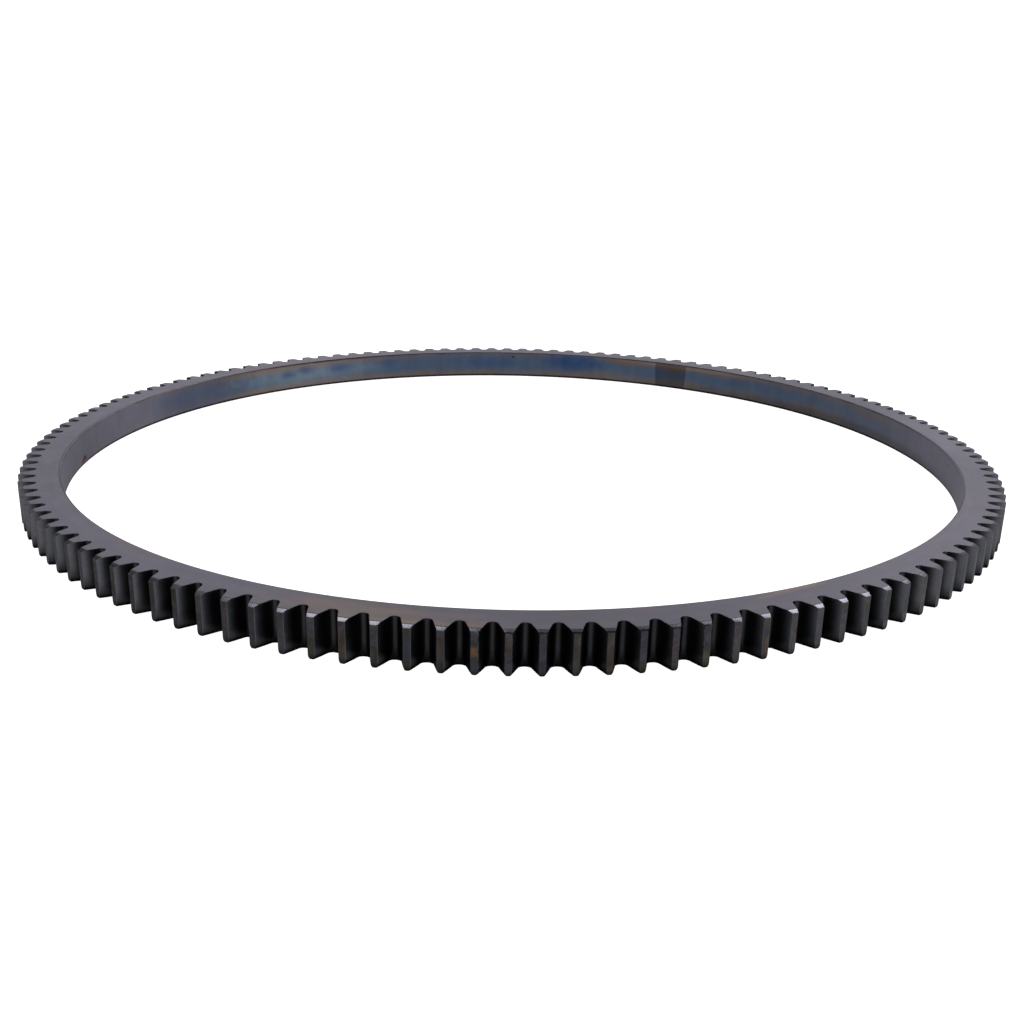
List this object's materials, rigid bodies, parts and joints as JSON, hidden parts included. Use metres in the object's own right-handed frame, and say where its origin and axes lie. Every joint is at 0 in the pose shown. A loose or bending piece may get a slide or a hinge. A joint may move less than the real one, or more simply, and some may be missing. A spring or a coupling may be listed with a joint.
{
  "type": "flywheel ring gear",
  "caption": "Steel ring gear with straight involute teeth round its outside and a plain bore, shrunk onto a flywheel for the starter pinion to turn.",
  "frame": {"origin": "on the ring's axis, in the plane of its lower face", "axes": "+Z along the ring's axis, towards the face whose teeth have flat bevels; one tooth is centred on -Y"},
  "size_m": [0.405, 0.405, 0.014],
  "materials": {
    "steel": "dark satin steel with heat colours"
  },
  "bodies": {
    "root": {"ring_gear": "steel"}
  },
  "joints": []
}
